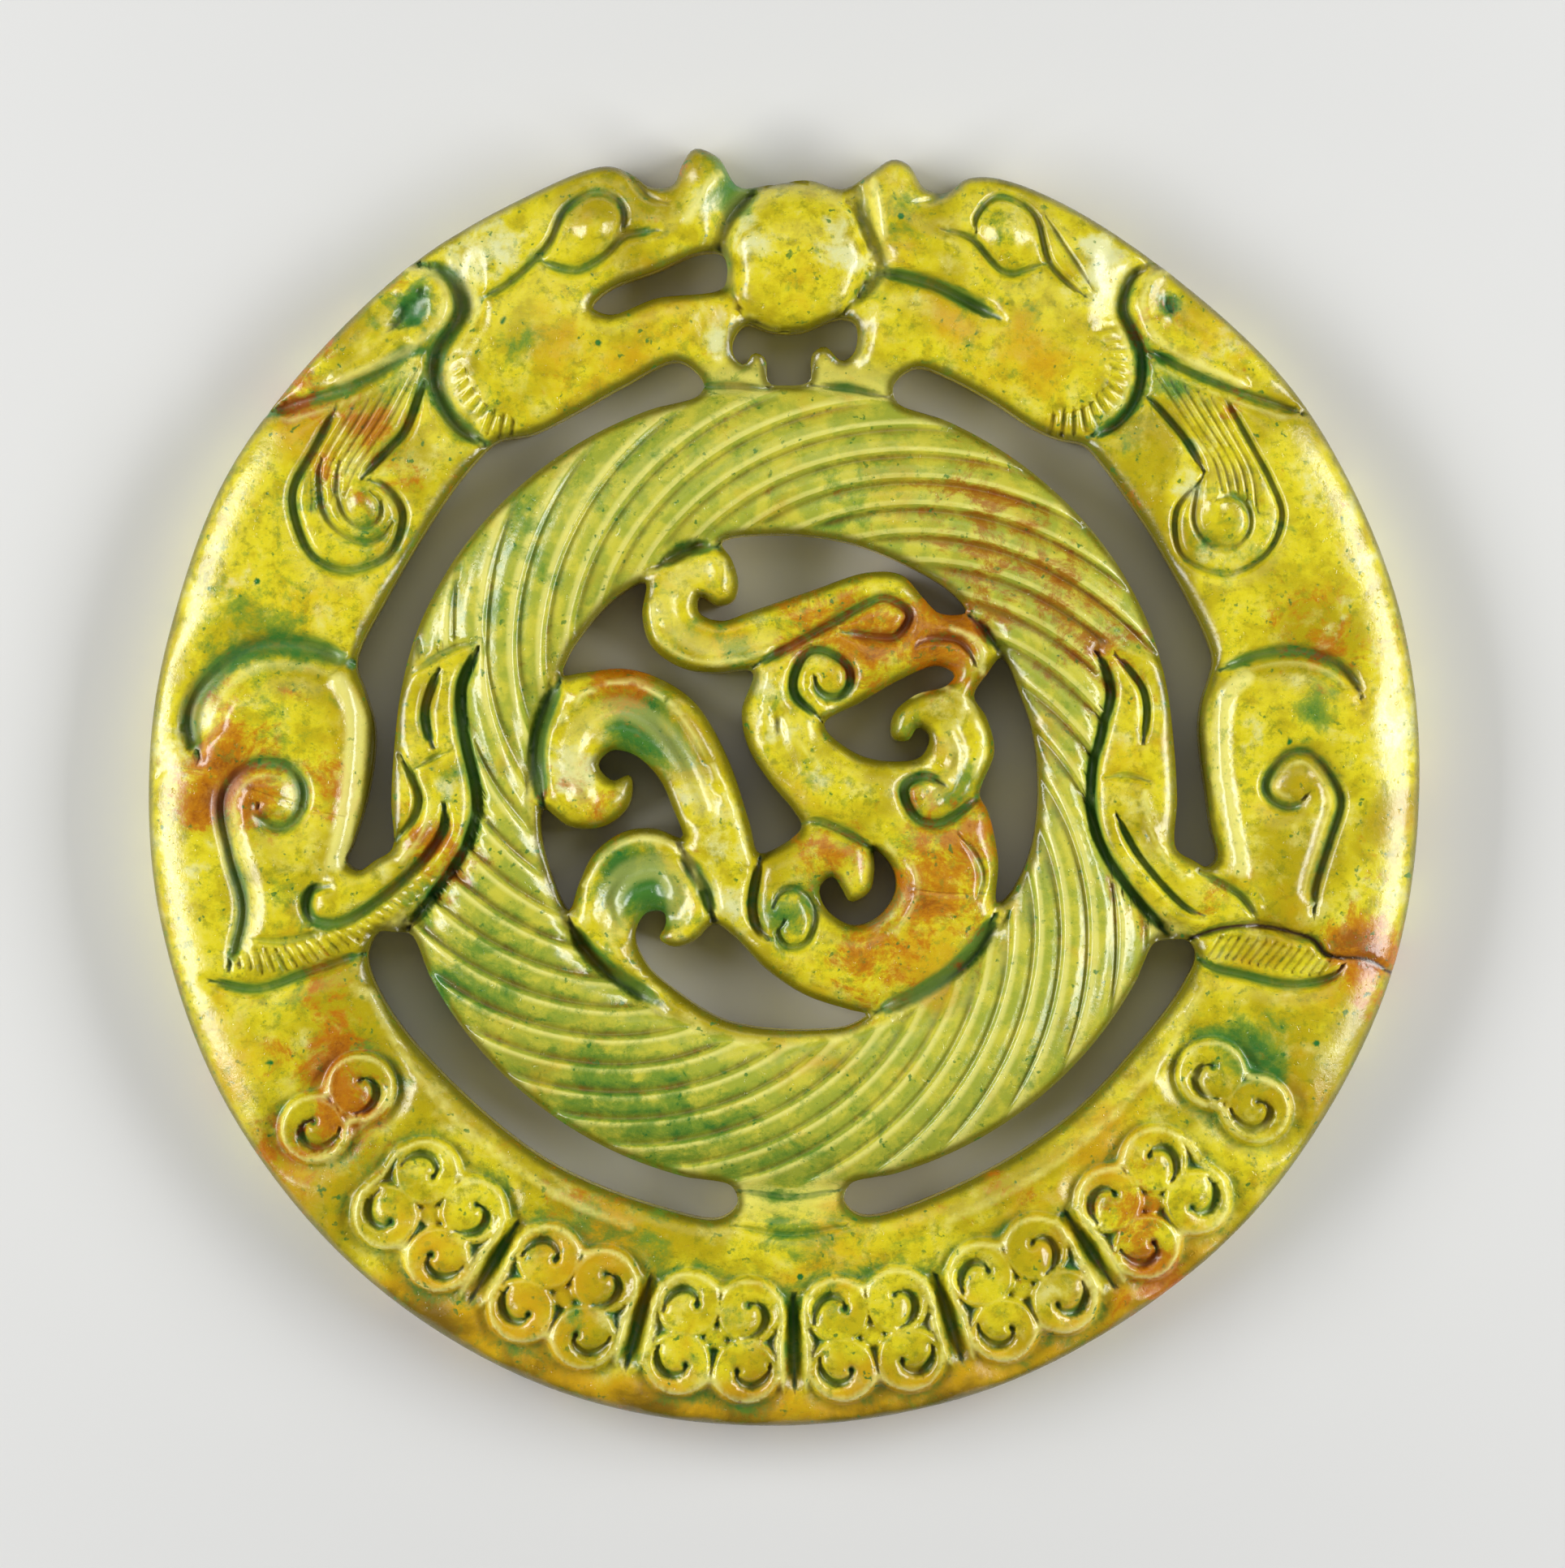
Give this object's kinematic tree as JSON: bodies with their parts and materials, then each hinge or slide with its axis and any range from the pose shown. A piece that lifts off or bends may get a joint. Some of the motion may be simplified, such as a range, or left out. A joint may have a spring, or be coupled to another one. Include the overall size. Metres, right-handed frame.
{
  "type": "openwork jade disc",
  "caption": "Round openwork jade disc carved with confronted dragons and a pearl, a band of scrolls, a twisted rope ring and a phoenix; flat plain back.",
  "frame": {"origin": "centre of the flat back face, under the middle of the disc's box", "axes": "+Z out of the carved face, +Y from the middle towards the pearl, +X to the right as the carved face is seen"},
  "size_m": [0.0998, 0.1, 0.007],
  "materials": {
    "jade": "polished yellow-green stone with green and russet staining"
  },
  "bodies": {
    "root": {"jade_disc": "jade"}
  },
  "joints": []
}
